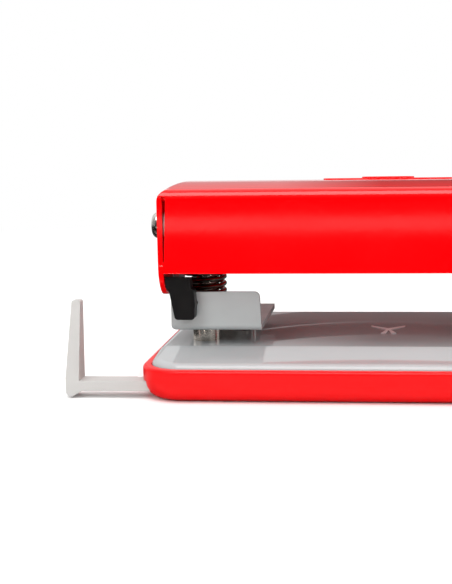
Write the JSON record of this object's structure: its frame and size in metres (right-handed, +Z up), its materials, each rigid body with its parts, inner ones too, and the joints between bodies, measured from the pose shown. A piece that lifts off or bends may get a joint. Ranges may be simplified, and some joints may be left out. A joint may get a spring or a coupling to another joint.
{
  "type": "two-hole paper punch",
  "caption": "Desk paper punch with a lever handle, sprung punch pins, a sliding lock latch, a pull-out paper guide and a lift-off chip tray.",
  "frame": {"origin": "on the resting plane, under the middle of the chip tray", "axes": "+X right along the length, +Y to the back, away from the paper edge, +Z up"},
  "size_m": [0.1176, 0.07, 0.0435],
  "materials": {
    "red_painted_steel": "gloss red enamel on pressed steel",
    "red_plastic": "satin red moulding",
    "grey_painted_plate": "gloss light grey enamel",
    "grey_painted_bracket": "semi-gloss light grey enamel",
    "grey_plastic": "satin light warm grey moulding",
    "black_plastic": "satin black moulding",
    "bright_steel": "nickel-plated, turned or pressed",
    "spring_steel": "oiled spring wire and strip",
    "white_nylon": "natural nylon"
  },
  "bodies": {
    "tray": {"chip_tray": "red_plastic", "guide_leaf": "spring_steel"},
    "base": {"base_plate": "grey_painted_plate", "bracket_left": "grey_painted_bracket", "bracket_right": "grey_painted_bracket", "paper_stop_left": "bright_steel", "paper_stop_right": "bright_steel", "bracket_rivets_left": "bright_steel", "bracket_rivets_right": "bright_steel", "guide_bush_left": "bright_steel", "guide_bush_right": "bright_steel", "return_spring_left": "spring_steel", "return_spring_right": "spring_steel", "pivot_pin_left": "bright_steel", "pivot_pin_right": "bright_steel", "pivot_washer_left": "white_nylon", "pivot_washer_right": "white_nylon", "pivot_clip_left": "spring_steel", "pivot_clip_right": "spring_steel"},
    "handle": {"handle": "red_painted_steel", "pusher_left": "bright_steel", "pusher_right": "bright_steel"},
    "punch_left": {"punch_pin_left": "bright_steel", "spring_washer_left": "bright_steel", "retaining_clip_left": "spring_steel"},
    "punch_right": {"punch_pin_right": "bright_steel", "spring_washer_right": "bright_steel", "retaining_clip_right": "spring_steel"},
    "latch": {"lock_latch": "black_plastic", "latch_stud": "bright_steel"},
    "guide": {"paper_guide": "grey_plastic"}
  },
  "joints": [
    {"name": "base_lift", "type": "slide", "parent": "tray", "child": "base", "axis": [0, 0, 1], "range_m": [0, 0.04]},
    {"name": "handle_turn", "type": "hinge", "parent": "base", "child": "handle", "pos_m": [0, -0.0165, 0.0348], "axis": [1, 0, 0], "range_deg": [0, 36]},
    {"name": "punch_left_lift", "type": "slide", "parent": "base", "child": "punch_left", "axis": [0, 0, 1], "range_m": [0, 0.0045], "deforming": ["return_spring_left"]},
    {"name": "punch_right_lift", "type": "slide", "parent": "base", "child": "punch_right", "axis": [0, 0, 1], "range_m": [0, 0.0045], "deforming": ["return_spring_right"]},
    {"name": "latch_slide", "type": "slide", "parent": "base", "child": "latch", "axis": [1, 0, 0], "range_m": [0, 0.0024]},
    {"name": "guide_slide", "type": "slide", "parent": "tray", "child": "guide", "axis": [1, 0, 0], "range_m": [-0.072, 0.0115]}
  ],
  "couplings": [
    {"joint": "punch_left_lift", "follows": "handle_turn", "m_per_rad": 0.007},
    {"joint": "punch_right_lift", "follows": "handle_turn", "m_per_rad": 0.007}
  ]
}
